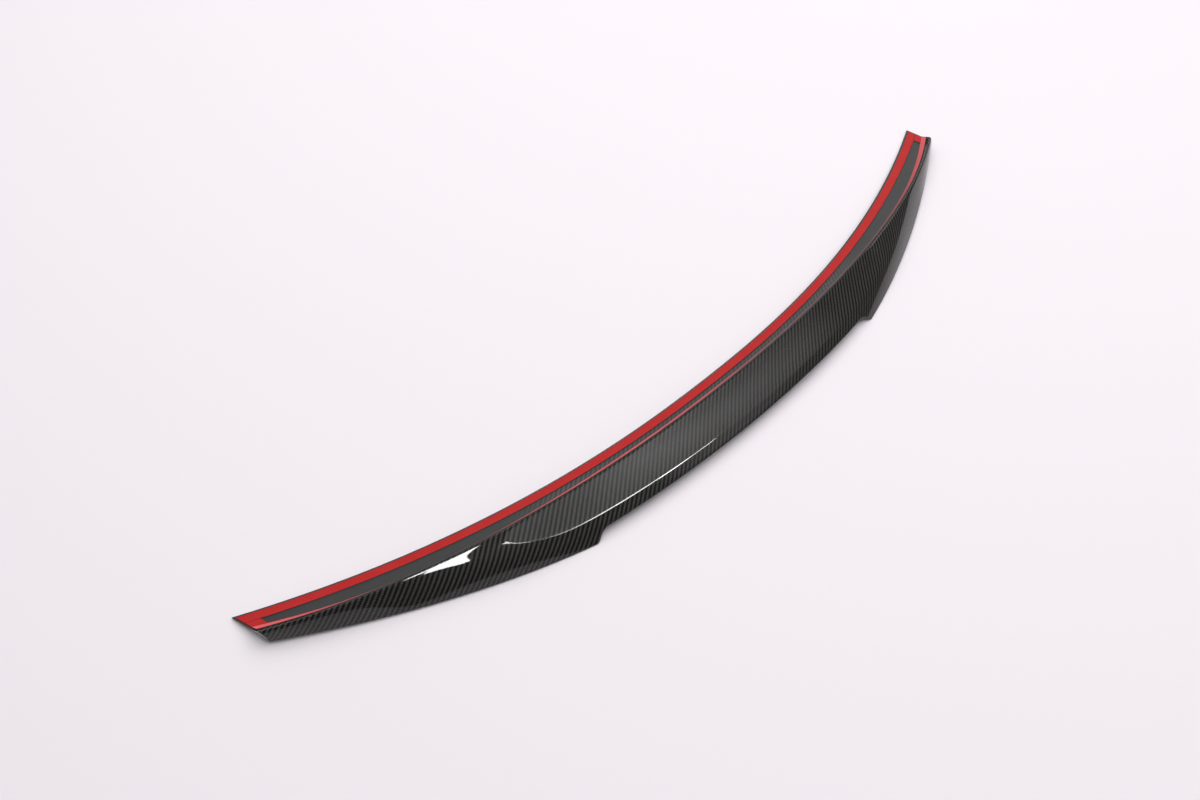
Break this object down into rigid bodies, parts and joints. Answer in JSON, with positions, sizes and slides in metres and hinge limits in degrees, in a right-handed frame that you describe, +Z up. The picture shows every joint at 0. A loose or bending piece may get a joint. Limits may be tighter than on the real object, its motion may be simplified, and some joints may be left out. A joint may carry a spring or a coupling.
{
  "type": "car rear spoiler",
  "caption": "Bowed lip spoiler for a car's boot lid in clear-coated carbon twill, with a scooped middle, a stepped trailing edge and foam mounting tape under red release film.",
  "frame": {"origin": "bottom centre of the bounding box, with the spoiler lying underside up on its front corners and wing edges", "axes": "+X along the width, +Y towards the leading edge that meets the boot lid, +Z up and out of the taped underside"},
  "size_m": [1.12, 0.201, 0.0356],
  "materials": {
    "carbon": "carbon twill under clear coat",
    "foam": "matte closed-cell foam",
    "release_film": "satin film"
  },
  "bodies": {
    "root": {"spoiler_body": "carbon", "front_tape": "foam", "front_tape_liner": "release_film", "rear_tape": "foam", "rear_tape_liner": "release_film", "left_end_tape": "foam", "left_end_tape_liner": "release_film", "right_end_tape": "foam", "right_end_tape_liner": "release_film"}
  },
  "joints": []
}
